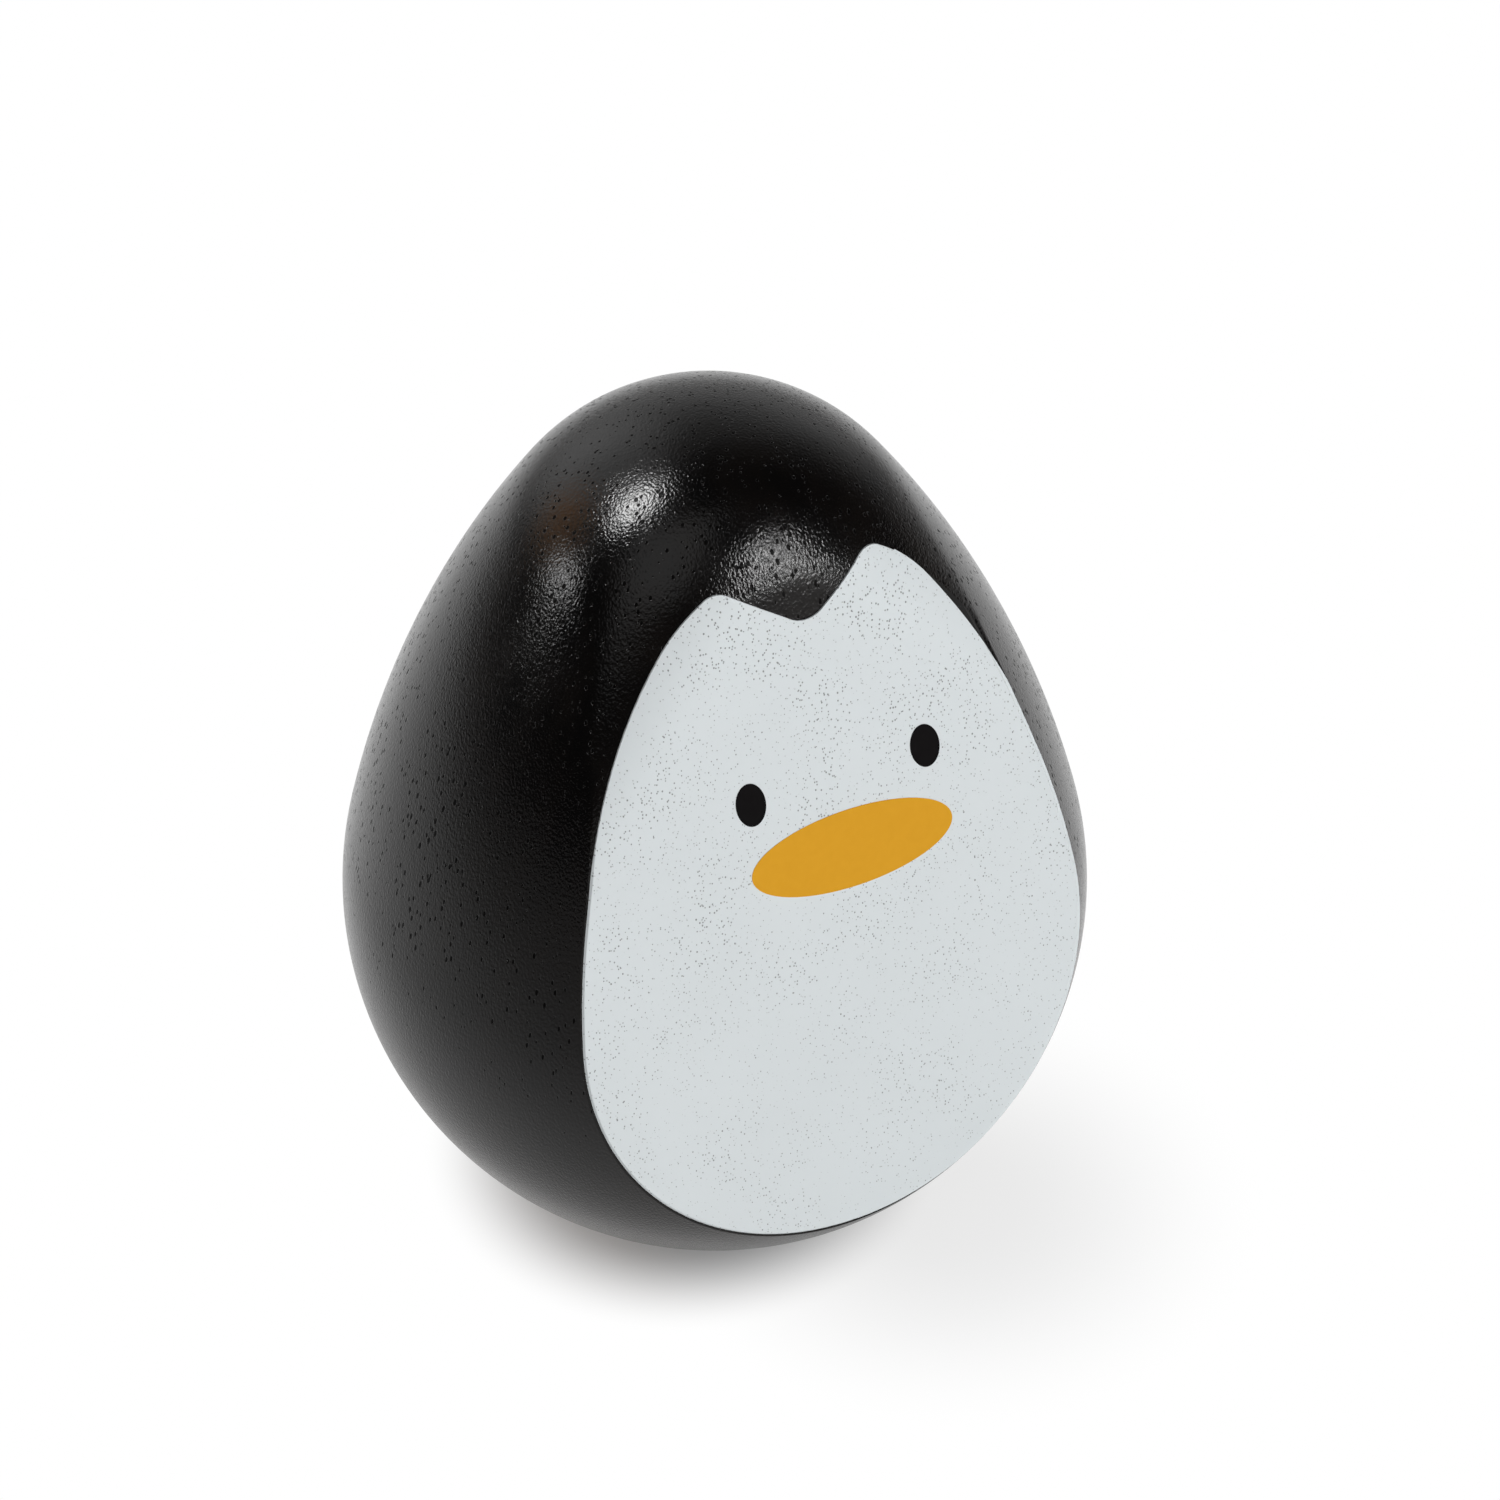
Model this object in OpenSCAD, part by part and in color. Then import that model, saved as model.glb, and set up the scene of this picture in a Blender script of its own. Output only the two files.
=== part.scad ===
// Roly poly toy: a turned wooden egg with a flat painted face and a steel weight in its round base.
// Millimetres, +Z up. The origin is the middle of the small flat under the round base, on the axis
// that the egg is turned about, and the face looks towards -Y. Left and right are those of someone
// who looks at the face. Heights on the face are measured along it.

/* [Egg] */
// Height from the floor to the top of the head
egg_h = 80; // [76:1:96]
// Radius of the round base that the toy rocks on
base_r = 31.4; // [29:0.2:33]
// Radius of the crown of the head
crown_r = 19.4; // [17:0.2:21]
// Radius of the long curve that joins the base to the crown
flank_r = 100; // [80:5:160]
// Diameter of the small flat under the base, on which the toy comes to rest
foot_d = 6; // [4:0.5:10]

/* [Flat face] */
// How far the face leans back from upright, in degrees
face_tilt = 13.4; // [10:0.2:17]
// Depth of wood cut away at the middle of the face
face_cut = 10.3; // [9:0.1:12]
// Radius that the brow rolls back with from the top of the flat
brow_r = 12; // [11:0.1:13]
// How much farther out that roll starts than one that would just touch the crown
brow_lead = 0.2; // [0.1:0.05:0.5]
// Lean from upright of the two straight lines that the roll follows below the round top, in degrees
flat_flare = 38; // [36:1:41]

/* [Ballast] */
// Diameter of the steel slug
ballast_d = 32; // [24:0.5:34]
// Length of the steel slug
ballast_h = 14; // [8:0.5:18]
// How far the slug sits in front of the egg's axis, to balance the wood cut off the front
ballast_shift = 2.1; // [0:0.1:3.5]
// Height of the base plug's flat top above the floor
plug_h = 8; // [7:0.5:12]
// Gap for glue all round the slug and the plug
glue_gap = 0.1; // [0.05:0.05:0.3]
// Bevel on both ends of the slug and on the plug's leading end
end_bevel = 0.8; // [0.4:0.1:1.5]

/* [White coat] */
// Thickness of the white coat
coat_t = 0.15; // [0.1:0.05:0.4]
// How far the white coat keeps inside the egg's surface
coat_margin = 0.15; // [0.05:0.05:0.6]
// Radius of the arc along the tops of the two white lobes
cap_r = 15.3; // [15:0.1:17]
// Height of that arc's top above the crown's centre
cap_up = 10.6; // [9:0.1:12]
// Sideways place of that arc's centre
cap_shift = 0.8; // [-2:0.1:2]
// Angle above level at which that arc ends and a longer one goes on down each side
cap_turn = 41; // [36:1:44]
// Radius of the longer arc down each side
side_r = 45; // [42:1:60]
// Lean from upright at which the side's arc ends and the outline runs on straight, in degrees
side_turn = 16; // [12:1:20]
// Height of the hairline's point above the crown's centre
peak_up = 4.4; // [1:0.1:6]
// Sideways place of the hairline's point
peak_shift = 1.9; // [-2:0.1:2]
// Slope of the hairline's two sides, in degrees
peak_slope = 37; // [30:1:50]
// Radius of the hairline's point
peak_r = 2.4; // [1.5:0.1:3]
// Radius of the tips of the white lobes
lobe_r = 1.8; // [1.5:0.1:3]

/* [Eyes and beak] */
// Thickness of the printed ink
ink_t = 0.06; // [0.04:0.02:0.2]
// Width of an eye
eye_w = 2.65; // [2:0.05:4]
// Height of an eye
eye_h = 3.95; // [3:0.05:6]
// Distance between the middles of the eyes
eye_apart = 16; // [12:0.5:20]
// Height of the eyes above the middle of the face
eye_up = 18.4; // [15:0.1:22]
// Sideways place of the pair of eyes
eye_shift = 2.7; // [-3:0.1:3]
// Turn of the pair of eyes, in degrees
eye_turn = -2; // [-8:1:8]
// Lean of each eye's long axis, in degrees
eye_lean = 6; // [-10:1:10]
// Width of the beak
beak_w = 18.5; // [14:0.5:24]
// Height of the beak
beak_h = 7.1; // [5:0.1:9]
// Height of the beak's middle above the middle of the face
beak_up = 11.5; // [8:0.1:13]
// Sideways place of the beak
beak_shift = 3.1; // [-4:0.1:4]
// Turn of the beak, in degrees
beak_turn = -4; // [-8:1:8]

/* [Hidden] */
$fn = 180;
overrun = 2;
arc_steps = 12;

// Heights of the centres of the base and the crown
base_z = sqrt(base_r ^ 2 - (foot_d / 2) ^ 2);
crown_z = egg_h - crown_r;
centre_gap = crown_z - base_z;

// Centre of the flank's arc, which the base and the crown both touch from inside
base_reach = flank_r - base_r;
crown_reach = flank_r - crown_r;
flank_z = base_z + (base_reach ^ 2 - crown_reach ^ 2 + centre_gap ^ 2) / (2 * centre_gap);
flank_x = -sqrt(base_reach ^ 2 - (flank_z - base_z) ^ 2);

// Angles above level at which the base runs into the flank and the flank into the crown
base_turn = atan2(base_z - flank_z, -flank_x);
crown_turn = atan2(crown_z - flank_z, -flank_x);

// The face's plane stands off the base's centre, and its foot there is the middle of the face
face_reach = base_r - face_cut;
chin = -sqrt(base_r ^ 2 - face_reach ^ 2);
crown_up = centre_gap * cos(face_tilt);
crown_depth = face_reach - centre_gap * sin(face_tilt);

// The flat's top is round about the foot of the crown's centre, and the roll's straight cuts down the
// sides overlap its round cut
flat_top_r = sqrt((crown_r - brow_r) ^ 2 - (crown_depth - brow_r) ^ 2) + brow_lead;
side_run = (crown_up - chin) / cos(flat_flare);
side_lap = 1;

pocket_d = ballast_d + 2 * glue_gap;
pocket_top = plug_h + ballast_h;

// The white coat's outline: centres of the cap's arc, of the hairline's point, of the long side arcs
// and of the lobes' tips
cap_centre = [cap_shift, crown_up + cap_up - cap_r];
peak_centre = [peak_shift, crown_up + peak_up + peak_r];
outline_run = egg_h;
function side_centre(side) = cap_centre + (cap_r - side_r) * [side * cos(cap_turn), sin(cap_turn)];

// Side is 1 for the right lobe and -1 for the left: its tip touches both the cap and the hairline
function side_across(side) = [side * sin(peak_slope), -cos(peak_slope)];
function side_along(side) = [side * cos(peak_slope), sin(peak_slope)];
function lobe_start(side) = peak_centre + (peak_r + lobe_r) * side_across(side) - cap_centre;
function lobe_run(q, d) = sqrt((q * d) ^ 2 - q * q + (cap_r - lobe_r) ^ 2) - q * d;
function lobe_centre(side) =
    let (q = lobe_start(side), d = side_along(side))
    cap_centre + q + lobe_run(q, d) * d;
function lobe_angle(side) =
    let (q = lobe_centre(side) - cap_centre)
    atan2(q[1], q[0]);

function turn(a) = [cos(a), sin(a)];
function arc(centre, r, from, to) =
    [for (i = [0 : arc_steps]) centre + r * turn(from + (to - from) * i / arc_steps)];

// Right half of a disc on the egg's axis, cut level at a depth below its centre
module half_disc(z, r, depth) {
    translate([0, z])
        intersection() {
            circle(r);
            translate([0, -depth]) square([r, depth + r]);
        }
}

// Slice of the flank's disc between the lines that its centre sends through those of base and crown
module flank_slice(r) {
    centre = [flank_x, flank_z];
    intersection() {
        translate(centre) circle(r);
        polygon([
            [0, base_z],
            centre + 2 * r * turn(base_turn),
            centre + 2 * r * turn(crown_turn),
            [0, crown_z]]);
    }
}

// The turned egg, or the same with its round shrunk by an inset: three arcs that run into each other
module egg(inset = 0) {
    rotate_extrude() {
        half_disc(base_z, base_r - inset, base_z);
        flank_slice(flank_r - inset);
        half_disc(crown_z, crown_r - inset, crown_r);
    }
}

// Takes a shape drawn on the plane z = 0, with y up, to the flat face
module on_face() {
    translate([0, 0, base_z])
        rotate([90 - face_tilt, 0, 0])
            translate([0, 0, face_reach])
                children();
}

// Section of what the brow's roll takes off, outside the edge of the flat
module brow_corner(coat) {
    rim_r = brow_r + coat;
    translate([flat_top_r, -brow_r])
        difference() {
            square(rim_r + overrun);
            circle(rim_r);
        }
}

// Straight cut of the brow's roll that ends on a level with the crown's centre and overlaps the round cut
module brow_side(coat, start) {
    translate([0, start, 0])
        rotate([90, 0, 0])
            linear_extrude(side_run + side_lap) brow_corner(coat);
}

// Cuts a shape down to the flat and the brow that rolls back from the flat's top: round the top first,
// then down the left and the right
module planed(coat = 0) {
    difference() {
        difference() {
            difference() {
                difference() {
                    children();
                    on_face()
                        translate([-base_r, chin - overrun, coat])
                            cube([2 * base_r, egg_h, face_cut + overrun]);
                }
                on_face()
                    translate([0, crown_up, 0])
                        rotate(flat_flare)
                            rotate_extrude(angle = 180 - 2 * flat_flare) brow_corner(coat);
            }
            on_face()
                translate([0, crown_up, 0])
                    rotate(180 - flat_flare)
                        brow_side(coat, side_run);
        }
        on_face()
            translate([0, crown_up, 0])
                rotate(flat_flare)
                    brow_side(coat, side_lap);
    }
}

// Outline of the white coat: open below, two lobes with rounded tips above, the hairline's point between
module coat_outline() {
    right_end = side_centre(1) + side_r * turn(side_turn);
    left_end = side_centre(-1) + side_r * turn(180 - side_turn);
    polygon(concat(
        [right_end + outline_run * turn(side_turn - 90)],
        arc(side_centre(1), side_r, side_turn, cap_turn),
        arc(cap_centre, cap_r, cap_turn, lobe_angle(1)),
        arc(lobe_centre(1), lobe_r, lobe_angle(1), 90 + peak_slope),
        arc(peak_centre, peak_r, peak_slope - 90, -peak_slope - 90),
        arc(lobe_centre(-1), lobe_r, 90 - peak_slope, lobe_angle(-1)),
        arc(cap_centre, cap_r, lobe_angle(-1), 180 - cap_turn),
        arc(side_centre(-1), side_r, 180 - cap_turn, 180 - side_turn),
        [left_end + outline_run * turn(270 - side_turn)]));
}

// An upright oval of ink on the white coat
module ink_oval(w, h) {
    linear_extrude(ink_t) scale([w / h, 1]) circle(d = h);
}

// Side is 1 for the right eye and -1 for the left
module eye(side) {
    on_face()
        translate([eye_shift, eye_up, coat_t])
            rotate(eye_turn)
                translate([side * eye_apart / 2, 0, 0])
                    rotate(eye_lean - eye_turn)
                        ink_oval(eye_w, eye_h);
}

// Turned wooden egg, flat in front, bored from below for the slug and its plug
module body() {
    color([0.09, 0.08, 0.08])
        difference() {
            planed() egg();
            translate([0, -ballast_shift, -overrun])
                cylinder(d = pocket_d, h = pocket_top + overrun);
        }
}

// Steel slug, bevelled at both ends, that seats on the end of the bore
module ballast() {
    r = ballast_d / 2;
    color([0.62, 0.63, 0.65])
        translate([0, -ballast_shift, plug_h])
            rotate_extrude()
                polygon([
                    [0, 0],
                    [r - end_bevel, 0],
                    [r, end_bevel],
                    [r, ballast_h - end_bevel],
                    [r - end_bevel, ballast_h],
                    [0, ballast_h]]);
}

// Wooden plug glued in below the slug and turned to the round of the base, with the small flat
module base_plug() {
    r = ballast_d / 2;
    color([0.09, 0.08, 0.08])
        intersection() {
            egg();
            translate([0, -ballast_shift, 0])
                rotate_extrude()
                    polygon([
                        [0, -overrun],
                        [r, -overrun],
                        [r, plug_h - end_bevel],
                        [r - end_bevel, plug_h],
                        [0, plug_h]]);
        }
}

// White paint over the flat and the foot of the brow
module face_coat() {
    color([0.83, 0.85, 0.85])
        difference() {
            planed(coat_t)
                intersection() {
                    egg(coat_margin);
                    on_face()
                        translate([0, 0, -brow_r])
                            linear_extrude(brow_r + coat_t + overrun)
                                coat_outline();
                }
            planed() egg();
        }
}

module left_eye() {
    color([0.08, 0.07, 0.08]) eye(-1);
}

module right_eye() {
    color([0.08, 0.07, 0.08]) eye(1);
}

module beak() {
    color([0.85, 0.61, 0.16])
        on_face()
            translate([beak_shift, beak_up, coat_t])
                rotate(beak_turn)
                    ink_oval(beak_w, beak_h);
}

body();
ballast();
base_plug();
face_coat();
left_eye();
right_eye();
beak();
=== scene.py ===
import bpy
import math
from mathutils import Matrix, Vector


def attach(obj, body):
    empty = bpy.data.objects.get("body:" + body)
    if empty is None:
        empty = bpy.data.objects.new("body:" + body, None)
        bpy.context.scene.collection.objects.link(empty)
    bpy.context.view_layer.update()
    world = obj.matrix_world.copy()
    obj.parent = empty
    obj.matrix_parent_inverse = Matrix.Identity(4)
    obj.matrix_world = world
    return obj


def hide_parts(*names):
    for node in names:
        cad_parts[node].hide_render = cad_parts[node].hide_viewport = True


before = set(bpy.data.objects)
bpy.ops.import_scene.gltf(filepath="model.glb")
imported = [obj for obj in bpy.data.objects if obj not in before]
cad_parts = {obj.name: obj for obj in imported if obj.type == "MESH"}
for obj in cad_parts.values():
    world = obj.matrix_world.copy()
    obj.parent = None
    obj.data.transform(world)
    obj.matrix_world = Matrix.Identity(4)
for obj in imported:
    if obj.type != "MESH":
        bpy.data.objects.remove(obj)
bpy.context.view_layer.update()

# Body: an egg of open-grained wood, turned on a lathe, planed flat in front with the top of the flat
# rolled back into the crown, and bored from below for the weight. It is sprayed with thin black
# lacquer, which leaves the pores open.
egg_h = 0.080
base_r = 0.0314
crown_r = 0.0194
flank_r = 0.100
foot_r = 0.003
face_tilt = math.radians(13.4)
face_cut = 0.0103
brow_r = 0.012
brow_lead = 0.0002
sanding_lead = 0.00002
flat_flare = math.radians(38)
pocket_r = 0.0161
pocket_top = 0.022
pocket_shift = 0.0021
overrun = 0.002
weld = 1e-6
sharp_edge = math.radians(25)
turned_steps = 256
base_steps = 60
flank_steps = 40
crown_steps = 30
brow_steps = 48
brow_round_steps = 96

# Centres of the egg's three arcs, and the turns at which they meet
base_z = math.sqrt(base_r ** 2 - foot_r ** 2)
crown_z = egg_h - crown_r
centre_gap = crown_z - base_z
base_reach = flank_r - base_r
crown_reach = flank_r - crown_r
flank_z = base_z + (base_reach ** 2 - crown_reach ** 2 + centre_gap ** 2) / (2 * centre_gap)
flank_x = -math.sqrt(base_reach ** 2 - (flank_z - base_z) ** 2)
foot_turn = math.atan2(-base_z, foot_r)
base_turn = math.atan2(base_z - flank_z, -flank_x)
crown_turn = math.atan2(crown_z - flank_z, -flank_x)

# The slab that is left by the plane: flat in front, with a rolled rim that runs out along the crown
face_reach = base_r - face_cut
crown_up = centre_gap * math.cos(face_tilt)
crown_depth = face_reach - centre_gap * math.sin(face_tilt)
flat_top_r = math.sqrt((crown_r - brow_r) ** 2 - (crown_depth - brow_r) ** 2) + brow_lead
flush_r = flat_top_r - sanding_lead
roll_r = (crown_r ** 2 - flush_r ** 2 - crown_depth ** 2) / (2 * (crown_r - crown_depth))
brow_turn = math.atan2(flat_top_r, crown_depth - roll_r)
side_run = (crown_up + base_r + overrun) / math.cos(flat_flare)
slab_back = face_reach + base_r + overrun - roll_r * (1 - math.cos(brow_turn))
slab_splay = slab_back / math.tan(brow_turn)
on_face = (Matrix.Translation((0, 0, base_z))
           @ Matrix.Rotation(math.pi / 2 - face_tilt, 4, "X")
           @ Matrix.Translation((0, 0, face_reach)))


def start_outline(name):
    """A new mesh of one vertex at the origin, selected in edit mode, to draw an outline from."""
    bpy.ops.object.select_all(action="DESELECT")
    bpy.ops.mesh.primitive_plane_add(size=overrun)
    piece = bpy.context.object
    piece.name = name
    bpy.ops.object.mode_set(mode="EDIT")
    bpy.ops.mesh.merge(type="CENTER")
    return piece


def line_to(x, z):
    """Draws the outline on by a straight line, x outwards and z up."""
    bpy.ops.mesh.extrude_region_move(TRANSFORM_OT_translate={"value": (x, 0, z)})


def arc_about(x, z, angle, steps):
    """Draws the outline on by an arc about a centre."""
    bpy.ops.mesh.spin(steps=steps, angle=angle, center=(x, 0, z), axis=(0, 1, 0))


def turn_on_lathe():
    """Spins the outline about the Z axis into a closed skin and leaves edit mode."""
    bpy.ops.mesh.select_all(action="SELECT")
    bpy.ops.mesh.spin(steps=turned_steps, angle=2 * math.pi, center=(0, 0, 0), axis=(0, 0, 1))
    bpy.ops.mesh.select_all(action="SELECT")
    bpy.ops.mesh.remove_doubles(threshold=weld)
    bpy.ops.mesh.normals_make_consistent(inside=False)
    bpy.ops.object.mode_set(mode="OBJECT")


def cut_with(piece, tool, operation):
    """Cuts a piece with a tool, which is then thrown away, and leaves the piece active."""
    bpy.ops.object.select_all(action="DESELECT")
    piece.select_set(True)
    bpy.context.view_layer.objects.active = piece
    cut = piece.modifiers.new("cut", "BOOLEAN")
    cut.operation = operation
    cut.solver = "EXACT"
    cut.object = tool
    bpy.ops.object.modifier_apply(modifier="cut")
    bpy.data.objects.remove(tool)


body = start_outline("lacquered_body")
line_to(foot_r, 0)
arc_about(0, base_z, base_turn - foot_turn, base_steps)
arc_about(flank_x, flank_z, crown_turn - base_turn, flank_steps)
arc_about(0, crown_z, math.pi / 2 - crown_turn, crown_steps)
turn_on_lathe()

planed_slab = start_outline("planed_slab")
line_to(flat_top_r, 0)
arc_about(flat_top_r, -roll_r, -brow_turn, brow_steps)
line_to(slab_splay, -slab_back)
line_to(-flat_top_r - roll_r * math.sin(brow_turn) - slab_splay, 0)
bpy.ops.mesh.select_all(action="SELECT")
bpy.ops.transform.rotate(value=-flat_flare, orient_axis="Z", center_override=(0, 0, 0))
down = Vector((math.sin(flat_flare), -math.cos(flat_flare), 0)) * side_run
bpy.ops.transform.translate(value=down)
bpy.ops.mesh.extrude_region_move(TRANSFORM_OT_translate={"value": -down})
bpy.ops.mesh.spin(steps=brow_round_steps, angle=2 * flat_flare - math.pi, center=(0, 0, 0),
                  axis=(0, 0, 1))
bpy.ops.mesh.extrude_region_move(TRANSFORM_OT_translate={"value": (-down.x, down.y, 0)})
bpy.ops.mesh.select_all(action="SELECT")
bpy.ops.mesh.convex_hull()
bpy.ops.mesh.normals_make_consistent(inside=False)
bpy.ops.object.mode_set(mode="OBJECT")
planed_slab.data.transform(on_face @ Matrix.Translation((0, crown_up, 0)))
cut_with(body, planed_slab, "INTERSECT")

bpy.ops.object.select_all(action="DESELECT")
bpy.ops.mesh.primitive_cylinder_add(vertices=turned_steps, radius=pocket_r, depth=2 * pocket_top,
                                    location=(0, -pocket_shift, 0))
cut_with(body, bpy.context.object, "DIFFERENCE")
bpy.ops.object.shade_smooth_by_angle(angle=sharp_edge)

# Lacquer: thin and satin over fine fibre. The open pores are pits without shine that close towards the
# base, where the lacquer ran together, and the brow is sanded soft.
noise_low = 0.3
noise_high = 0.7
pore_cell = 0.00045
pore_stretch = 2.6
pore_size = 0.31
pores_closed = -0.06
pores_closed_z = 0.016
pores_open_z = 0.046
pores_few = 0.7
pore_depth = 0.6
pore_roughness = 0.15
pore_shine = 0.08
peel_cell = 0.0009
peel_stretch = 1.5
peel_detail = 1.0
peel_height = 0.08
fibre_cell = 0.00019
fibre_stretch = 1.7
fibre_detail = 1.0
fibre_height = 0.6
streak_cell = 0.004
streak_stretch = 6.0
streak_detail = 4.0
streak_low = 0.35
streak_high = 0.8
relief_height = 0.00006
lacquer_ior = 1.31
lacquer_shine = 0.54
gloss_roughness = 0.16
dull_roughness = 0.20
edge_r = 0.00015
soft_brow_r = 0.0025
brow_low_z = 0.058
brow_high_z = 0.066
corner_rays = 8


def add(tree, kind, *sockets, **settings):
    """Adds a shader node; each socket is a pair of its name or place and a value or an output."""
    made = tree.nodes.new("ShaderNode" + kind)
    for name, value in settings.items():
        setattr(made, name, value)
    for key, value in sockets:
        if isinstance(value, bpy.types.NodeSocket):
            tree.links.new(value, made.inputs[key])
        else:
            made.inputs[key].default_value = value
    return made


def math_of(tree, operation, a, b):
    """The result of one sum on two numbers or outputs."""
    return add(tree, "Math", (0, a), (1, b), operation=operation).outputs[0]


def times(tree, a, b):
    """The product of two numbers or outputs."""
    return math_of(tree, "MULTIPLY", a, b)


def ramp(tree, value, low, high, to_low=0.0, to_high=1.0):
    """Maps a number smoothly from one range to another."""
    mapped = add(tree, "MapRange", ("Value", value), (1, low), (2, high), (3, to_low), (4, to_high),
                 interpolation_type="SMOOTHSTEP")
    return mapped.outputs["Result"]


def colour(r, g, b):
    """A colour as the eye reads it, from 0 to 255, in the light values that shaders use."""
    shares = [c / 255 for c in (r, g, b)]
    return [s / 12.92 if s <= 0.04045 else ((s + 0.055) / 1.055) ** 2.4 for s in shares] + [1.0]


def tones(tree, share, dark, light, low=0.0, high=1.0):
    """A colour that goes from a dark to a light tone as the share goes from low to high."""
    made = add(tree, "ValToRGB", ("Fac", share))
    first, last = made.color_ramp.elements
    first.position = low
    first.color = dark
    last.position = high
    last.color = light
    return made.outputs["Color"]


def mixed(tree, share, one, other):
    """A colour that goes from one to the other as the share goes from 0 to 1."""
    return add(tree, "Mix", ("Factor", share), (6, one), (7, other), data_type="RGBA").outputs[2]


def new_material(name):
    """A material with its node tree and its surface shader."""
    material = bpy.data.materials.new(name)
    material.use_nodes = True
    return material, material.node_tree, material.node_tree.nodes["Principled BSDF"]


def grain_field(tree, cell, stretch, depth=1.0):
    """Object coordinates in cells of the wood's grain, which runs up the toy."""
    place = add(tree, "TexCoord").outputs["Object"]
    return add(tree, "Mapping", ("Vector", place),
               ("Scale", (1 / cell, 1 / (cell * depth), 1 / (cell * stretch)))).outputs["Vector"]


def noise(tree, cell, stretch, detail):
    """Soft noise from 0 to 1 in cells of the grain."""
    return add(tree, "TexNoise", ("Vector", grain_field(tree, cell, stretch)), ("Scale", 1.0),
               ("Detail", detail)).outputs["Fac"]


def pore_mask(tree, cell, stretch, size, few, depth=1.0):
    """1 inside the pores and 0 outside, of many sizes, which shrink to a share where they are few."""
    crowd_cells = 18
    crowd_detail = 2.0
    crowded = 1.2
    no_pore = 0.15
    full_pore = 0.85
    soft_edge = 0.05
    cells = add(tree, "TexVoronoi", ("Vector", grain_field(tree, cell, stretch, depth)), ("Scale", 1.0))
    patches = noise(tree, crowd_cells * cell, stretch, crowd_detail)
    crowd = ramp(tree, patches, noise_low, noise_high, few, crowded)
    own_share = ramp(tree, cells.outputs["Color"], no_pore, full_pore)
    own_size = times(tree, own_share, times(tree, crowd, size))
    edge = math_of(tree, "SUBTRACT", cells.outputs["Distance"], own_size)
    return ramp(tree, edge, -soft_edge, soft_edge, 1.0, 0.0)


deep_black = colour(4, 3, 3)
warm_black = colour(13, 9, 7)
lacquer, tree, surface = new_material("black_lacquer")
place = add(tree, "TexCoord").outputs["Object"]
above = add(tree, "SeparateXYZ", ("Vector", place)).outputs["Z"]
size_here = ramp(tree, above, pores_closed_z, pores_open_z, pores_closed, pore_size)
pores = pore_mask(tree, pore_cell, pore_stretch, size_here, pores_few)
peel = noise(tree, peel_cell, peel_stretch, peel_detail)
fibre = noise(tree, fibre_cell, fibre_stretch, fibre_detail)
streak = noise(tree, streak_cell, streak_stretch, streak_detail)
streaked = tones(tree, streak, deep_black, warm_black, streak_low, streak_high)
black_wood = mixed(tree, pores, streaked, deep_black)
gloss = ramp(tree, streak, noise_low, noise_high, gloss_roughness, dull_roughness)
pitted = math_of(tree, "ADD", gloss, times(tree, pores, pore_roughness))
surface.inputs["IOR"].default_value = lacquer_ior
tree.links.new(ramp(tree, pores, 0.0, 1.0, lacquer_shine, pore_shine),
               surface.inputs["Specular IOR Level"])
skin = math_of(tree, "ADD", times(tree, peel, peel_height), times(tree, fibre, fibre_height))
height = math_of(tree, "SUBTRACT", skin, times(tree, pores, pore_depth))
sanded = add(tree, "Bevel", ("Radius", ramp(tree, above, brow_low_z, brow_high_z, edge_r, soft_brow_r)),
             samples=corner_rays)
relief = add(tree, "Bump", ("Height", height), ("Normal", sanded.outputs["Normal"]),
             ("Distance", relief_height))
tree.links.new(relief.outputs["Normal"], surface.inputs["Normal"])

# Painted edge of the wood: on the right the white of the face runs out over the last hair's breadth of
# the planed wood to its sharp edge, and under the chin it draws in to the white coat's own edge.
hair_r = 0.0611
hair_shift = -0.0383
hair_end = 0.010
lobe_r = 0.01706
lobe_shift = -0.00057
lobe_up = 0.02281
lobe_end = 0.0329
chin_left = -0.004
chin_right = 0.0110
coat_margin = 0.00015
film = 0.00001
edge_white = colour(214, 220, 222)
edge_roughness = 0.54
join_up = base_r * math.sin(base_turn)
face_out = Vector((0, -math.cos(face_tilt), math.sin(face_tilt)))
face_up = Vector((0, math.sin(face_tilt), math.cos(face_tilt)))


def dot(tree, vector, direction):
    """How far a vector reaches in a direction."""
    return add(tree, "VectorMath", (0, vector), (1, direction), operation="DOT_PRODUCT").outputs["Value"]


def length(tree, vector):
    """The length of a vector."""
    return add(tree, "VectorMath", (0, vector), operation="LENGTH").outputs["Value"]


def distance(tree, spot, centre):
    """How far a spot is from a centre."""
    return add(tree, "VectorMath", (0, spot), (1, centre), operation="DISTANCE").outputs["Value"]


def from_base(tree):
    """Object coordinates measured from the centre of the round base."""
    place = add(tree, "TexCoord").outputs["Object"]
    return add(tree, "VectorMath", (0, place), (1, (0, 0, base_z)),
               operation="SUBTRACT").outputs["Vector"]


def inside_hairline(tree):
    """1 on the face's side of the arcs that the hairline follows down the right, and 0 beyond them."""
    spot = from_base(tree)
    along = dot(tree, spot, face_up)
    flat_spot = add(tree, "CombineXYZ", (0, dot(tree, spot, (1, 0, 0))), (1, along)).outputs["Vector"]

    def within(centre, radius, end):
        """1 inside a circle on the flat, or below the end of its arc."""
        inside = math_of(tree, "LESS_THAN", distance(tree, flat_spot, centre), radius)
        return math_of(tree, "MAXIMUM", inside, math_of(tree, "LESS_THAN", along, end))

    return times(tree, within((hair_shift, 0, 0), hair_r, hair_end),
                 within((lobe_shift, lobe_up, 0), lobe_r, lobe_end))


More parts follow.
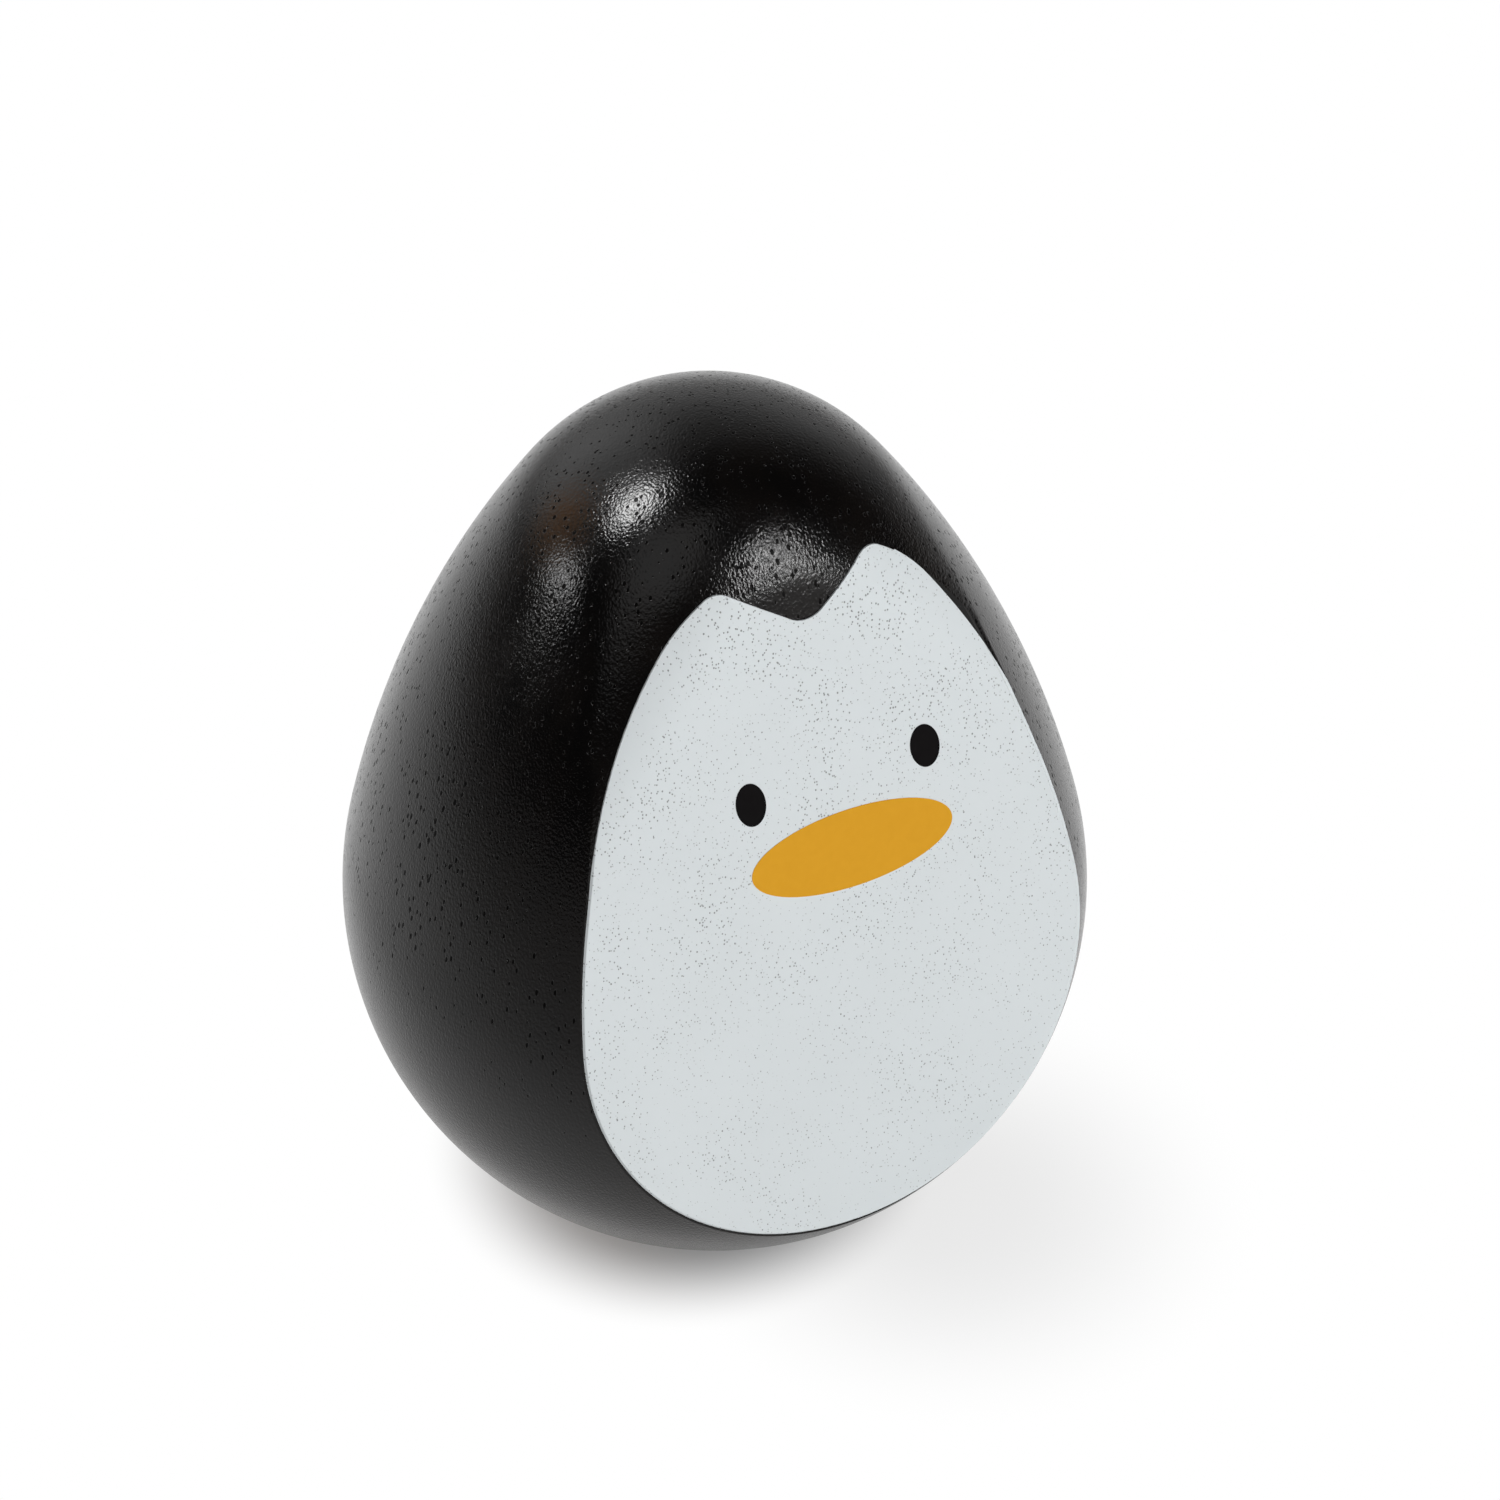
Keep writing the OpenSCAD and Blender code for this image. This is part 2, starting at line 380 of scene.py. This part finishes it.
spot = from_base(tree)
across = dot(tree, spot, (1, 0, 0))
above_base = dot(tree, spot, (0, 0, 1))
front = dot(tree, spot, face_out)
on_flat = math_of(tree, "GREATER_THAN", front, face_reach - film)
level_spot = add(tree, "VectorMath", (0, spot), (1, (1, 1, 0)), operation="MULTIPLY").outputs["Vector"]
from_flank = add(tree, "CombineXYZ", (0, math_of(tree, "SUBTRACT", length(tree, level_spot), flank_x)),
                 (1, math_of(tree, "SUBTRACT", above_base, flank_z - base_z))).outputs["Vector"]
off_flank = times(tree, math_of(tree, "GREATER_THAN", above_base, join_up),
                  math_of(tree, "LESS_THAN", length(tree, from_flank), flank_r - film))
on_roll = times(tree, off_flank, math_of(tree, "GREATER_THAN", front, face_reach / 2))
planed = math_of(tree, "MAXIMUM", on_flat, on_roll)
right_side = times(tree, math_of(tree, "GREATER_THAN", across, chin_right),
                   times(tree, inside_hairline(tree), planed))
drawn_in = ramp(tree, across, chin_left, chin_right, base_r - coat_margin, base_r)
under_chin = times(tree, on_flat, math_of(tree, "LESS_THAN", length(tree, spot), drawn_in))
white_edge = math_of(tree, "MAXIMUM", right_side, under_chin)
tree.links.new(mixed(tree, white_edge, black_wood, edge_white), surface.inputs["Base Color"])
satin = add(tree, "Mix", ("Factor", white_edge), (2, pitted), (3, edge_roughness))
tree.links.new(satin.outputs[0], surface.inputs["Roughness"])
body.data.materials.append(lacquer)
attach(body, "root")
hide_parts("body")

# Ballast: a slug of bar steel, faced and bevelled on a lathe, which left fine rings on it.
# It is glued into the end of the bore, low in the body, and never shows.
ring_scale = 900.0
ring_wander = 1.5
ring_dark = colour(150, 150, 152)
ring_light = colour(186, 187, 190)
ring_smooth = 0.28
ring_rough = 0.42
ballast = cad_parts["ballast"]
steel, tree, surface = new_material("turned_steel")
place = add(tree, "TexCoord").outputs["Object"]
rings = add(tree, "TexWave", ("Vector", place), ("Scale", ring_scale), ("Distortion", ring_wander),
            wave_type="RINGS", rings_direction="Z").outputs["Fac"]
surface.inputs["Metallic"].default_value = 1.0
tree.links.new(tones(tree, rings, ring_dark, ring_light), surface.inputs["Base Color"])
tree.links.new(ramp(tree, rings, 0.0, 1.0, ring_smooth, ring_rough), surface.inputs["Roughness"])
ballast.data.materials.clear()
ballast.data.materials.append(steel)

# Base plug: a disc of the same wood, glued in below the slug, turned to the round of the base with it
# and lacquered over.
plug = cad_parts["base_plug"]
plug.data.materials.clear()
plug.data.materials.append(lacquer)

# White coat: satin paint, sprayed over the flat through a mask that leaves the hairline black.
# The pores below it show as fine grey specks.
speck_cell = 0.00028
speck_stretch = 1.2
speck_size = 0.23
speck_length = 200.0
specks_few = 0.6
speck_strength = 0.8
speck_dip = 0.00003
speck_grey = colour(120, 122, 122)
cloud_cell = 0.012
cloud_detail = 3.0
coat_dark = colour(211, 217, 219)
coat_light = colour(217, 223, 225)
coat_smooth = 0.5
coat_rough = 0.58
coat_ior = 1.35
hair_black = colour(8, 6, 5)
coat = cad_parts["face_coat"]
white, tree, surface = new_material("white_paint")
specks = pore_mask(tree, speck_cell, speck_stretch, speck_size, specks_few, speck_length)
cloud = noise(tree, cloud_cell, 1.0, cloud_detail)
clouded = tones(tree, cloud, coat_dark, coat_light)
spotted = mixed(tree, times(tree, specks, speck_strength), clouded, speck_grey)
masked = mixed(tree, inside_hairline(tree), hair_black, spotted)
tree.links.new(masked, surface.inputs["Base Color"])
satin = ramp(tree, cloud, noise_low, noise_high, coat_smooth, coat_rough)
tree.links.new(satin, surface.inputs["Roughness"])
surface.inputs["IOR"].default_value = coat_ior
relief = add(tree, "Bump", ("Height", times(tree, specks, -1.0)), ("Distance", speck_dip))
tree.links.new(relief.outputs["Normal"], surface.inputs["Normal"])
coat.data.materials.clear()
coat.data.materials.append(white)

# Eyes: two ovals of black ink, printed on the white coat when it is dry. The ink is thin and nearly
# even, with little shine.
ink_cell = 0.0008
ink_detail = 4.0
ink_smooth = 0.36
ink_rough = 0.42
ink_ior = 1.1


def ink(name, low, high):
    """Printed ink of two close tones."""
    material, tree, surface = new_material(name)
    cloud = noise(tree, ink_cell, 1.0, ink_detail)
    satin = ramp(tree, cloud, noise_low, noise_high, ink_smooth, ink_rough)
    tree.links.new(tones(tree, cloud, low, high), surface.inputs["Base Color"])
    tree.links.new(satin, surface.inputs["Roughness"])
    surface.inputs["IOR"].default_value = ink_ior
    return material


black_ink = ink("black_ink", colour(11, 9, 10), colour(15, 13, 14))
for name in ("left_eye", "right_eye"):
    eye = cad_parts[name]
    eye.data.materials.clear()
    eye.data.materials.append(black_ink)

# Beak: one wide oval of yellow-orange ink, printed below the eyes in the same way, a little to the right
# of the middle and turned by a few degrees.
orange_ink = ink("orange_ink", colour(213, 154, 39), colour(219, 160, 43))
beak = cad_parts["beak"]
beak.data.materials.clear()
beak.data.materials.append(orange_ink)

# Camera: above and to the left of the face, on a long lens, in a frame of 1500 by 1500 pixels.
# It looks at the middle of the toy, and the shift puts that at its place in the frame.
frame_px = 1500
target_px = Vector((712.9, 801.1))
target = Vector((0, 0, 0.03993))
view_side = math.radians(-28.03)
view_up = math.radians(41.48)
view_roll = math.radians(1.36)
view_distance = 0.4809
lens_mm = 138.2
sensor_mm = 36.0
near_clip = 0.01
back = Vector((math.sin(view_side) * math.cos(view_up),
               -math.cos(view_side) * math.cos(view_up),
               math.sin(view_up)))
camera = bpy.data.objects.new("camera", bpy.data.cameras.new("camera"))
bpy.context.scene.collection.objects.link(camera)
camera.data.sensor_width = sensor_mm
camera.data.lens = lens_mm
camera.data.shift_x = 0.5 - target_px.x / frame_px
camera.data.shift_y = target_px.y / frame_px - 0.5
camera.data.clip_start = near_clip
camera.matrix_world = (Matrix.Translation(target + view_distance * back)
                       @ (-back).to_track_quat("-Z", "Y").to_matrix().to_4x4()
                       @ Matrix.Rotation(-view_roll, 4, "Z"))
bpy.context.scene.camera = camera

# Floor: a plain pale sheet that glows white further out. The glow is held back in a ring round the toy
# and, in part, in a spot beside it, so the sheet's own shading shows there as a painted shadow, darkened
# near the base by the toy's real shadow, and a paler painted shade beside it. The lacquer mirrors the
# sheet behind the toy, less so close by, and not further in front.
floor_size = 6.0
paper_white = (0.93, 0.93, 0.93, 1)
paper_roughness = 0.9
pure_white = (1, 1, 1, 1)
shadow_spot = (-0.003, 0.0015, 0)
shadow_r = 0.0125
shadow_end = 0.023
# Painted shade: a spot beside the toy where part of the glow is held back and the dim sheet shows.
painted_shade_spot = (0.014, -0.017, 0)
painted_shade_r = 0.004
painted_shade_end = 0.027
painted_shade_share = 0.73
sheet_spot = (0.117, 0.221, 0)
sheet_r = 0.27
sheet_end = 0.45
dimmed_r = 0.02
dimmed_end = 0.06
dimmed_share = 0.45
bpy.ops.object.select_all(action="DESELECT")
bpy.ops.mesh.primitive_plane_add(size=floor_size)
floor = bpy.context.object
floor.name = "floor"
paper, tree, surface = new_material("floor_paper")
surface.inputs["Base Color"].default_value = paper_white
surface.inputs["Roughness"].default_value = paper_roughness
surface.inputs["Specular IOR Level"].default_value = 0.0
place = add(tree, "TexCoord").outputs["Object"]
path = add(tree, "LightPath").outputs
# Painted shadow: the glow is held back round the toy, so the sheet's own shading and the toy's real
# shadow show.
from_shadow = distance(tree, place, shadow_spot)
clear = times(tree, ramp(tree, from_shadow, shadow_r, shadow_end),
              ramp(tree, distance(tree, place, painted_shade_spot), painted_shade_r, painted_shade_end, painted_shade_share, 1.0))
sheet = times(tree, ramp(tree, distance(tree, place, sheet_spot), sheet_r, sheet_end, 1.0, 0.0),
              ramp(tree, from_shadow, dimmed_r, dimmed_end, dimmed_share, 1.0))
mirrored = times(tree, path["Is Glossy Ray"], sheet)
seen = math_of(tree, "MAXIMUM", path["Is Camera Ray"],
               math_of(tree, "MAXIMUM", mirrored, path["Is Transmission Ray"]))
glow = add(tree, "Emission", ("Color", pure_white), ("Strength", 1.0))
both = add(tree, "MixShader", ("Fac", times(tree, seen, clear)), (1, surface.outputs["BSDF"]),
           (2, glow.outputs["Emission"]))
tree.links.new(both.outputs["Shader"], tree.nodes["Material Output"].inputs["Surface"])
floor.data.materials.append(paper)

# Light: a dim room with a pale wall low behind the toy, a window on its left and a wooden door nearer.
# A large panel stands by the camera and a tall one in front on the right, and two more on the left are
# only mirrored in the lacquer.
room_light = 0.06
wall_foot = 0.1
wall_top = 0.85
wall_top_share = 0.45
door_brown = (1.0, 0.5, 0.2, 1)
away = Vector((-math.sin(view_side), math.cos(view_side), 0))
right = Vector((math.cos(view_side), math.sin(view_side), 0))


def from_camera(across, beyond, up):
    """The direction that lies right of, away from and above the camera by these shares."""
    return (across * right + beyond * away + up * Vector((0, 0, 1))).normalized()


world = bpy.data.worlds.new("room")
bpy.context.scene.world = world
world.use_nodes = True
tree = world.node_tree
towards = add(tree, "TexCoord").outputs["Generated"]


def near(direction, low, high, most):
    """Rises to the most towards a direction, as the cosine to it goes from low to high."""
    return ramp(tree, dot(tree, towards, direction), low, high, 0.0, most)


up = add(tree, "SeparateXYZ", ("Vector", towards)).outputs["Z"]
wall = times(tree, near(away, low=0.25, high=0.85, most=0.7),
             ramp(tree, up, wall_foot, wall_top, 1.0, wall_top_share))
window = near(from_camera(-0.58, 0.61, 0.54), low=0.855, high=0.98, most=1.0)
door = near(from_camera(-0.86, 0.31, 0.41), low=0.95, high=0.995, most=0.9)
room = math_of(tree, "ADD", math_of(tree, "ADD", wall, window), math_of(tree, "ADD", door, room_light))
tree.links.new(mixed(tree, door, pure_white, door_brown), tree.nodes["Background"].inputs["Color"])
tree.links.new(room, tree.nodes["Background"].inputs["Strength"])


def panel(name, direction, reach, width, tall, watts, shine_only=False):
    """A soft panel of light that faces the toy from a direction and casts no shadow."""
    lamp = bpy.data.lights.new(name, "AREA")
    lamp.shape = "RECTANGLE"
    lamp.size = width
    lamp.size_y = tall
    lamp.energy = watts
    lamp.use_shadow = False
    stand = bpy.data.objects.new(name, lamp)
    stand.visible_diffuse = not shine_only
    bpy.context.scene.collection.objects.link(stand)
    stand.matrix_world = (Matrix.Translation(target + reach * direction)
                          @ (-direction).to_track_quat("-Z", "Y").to_matrix().to_4x4())


panel("left_high_panel", from_camera(-0.45, 0.05, 0.89), reach=1.2, width=0.34, tall=0.34, watts=17.0,
      shine_only=True)
panel("left_low_panel", from_camera(-0.93, -0.05, 0.37), reach=1.2, width=0.20, tall=0.22, watts=2.6,
      shine_only=True)
panel("right_panel", from_camera(0.755, -0.62, 0.23), reach=1.3, width=0.10, tall=0.80, watts=11.3)
panel("camera_panel", from_camera(-0.08, -0.66, 0.75), reach=1.3, width=1.0, tall=1.0, watts=3.2)
bpy.context.scene.view_settings.view_transform = "Standard"
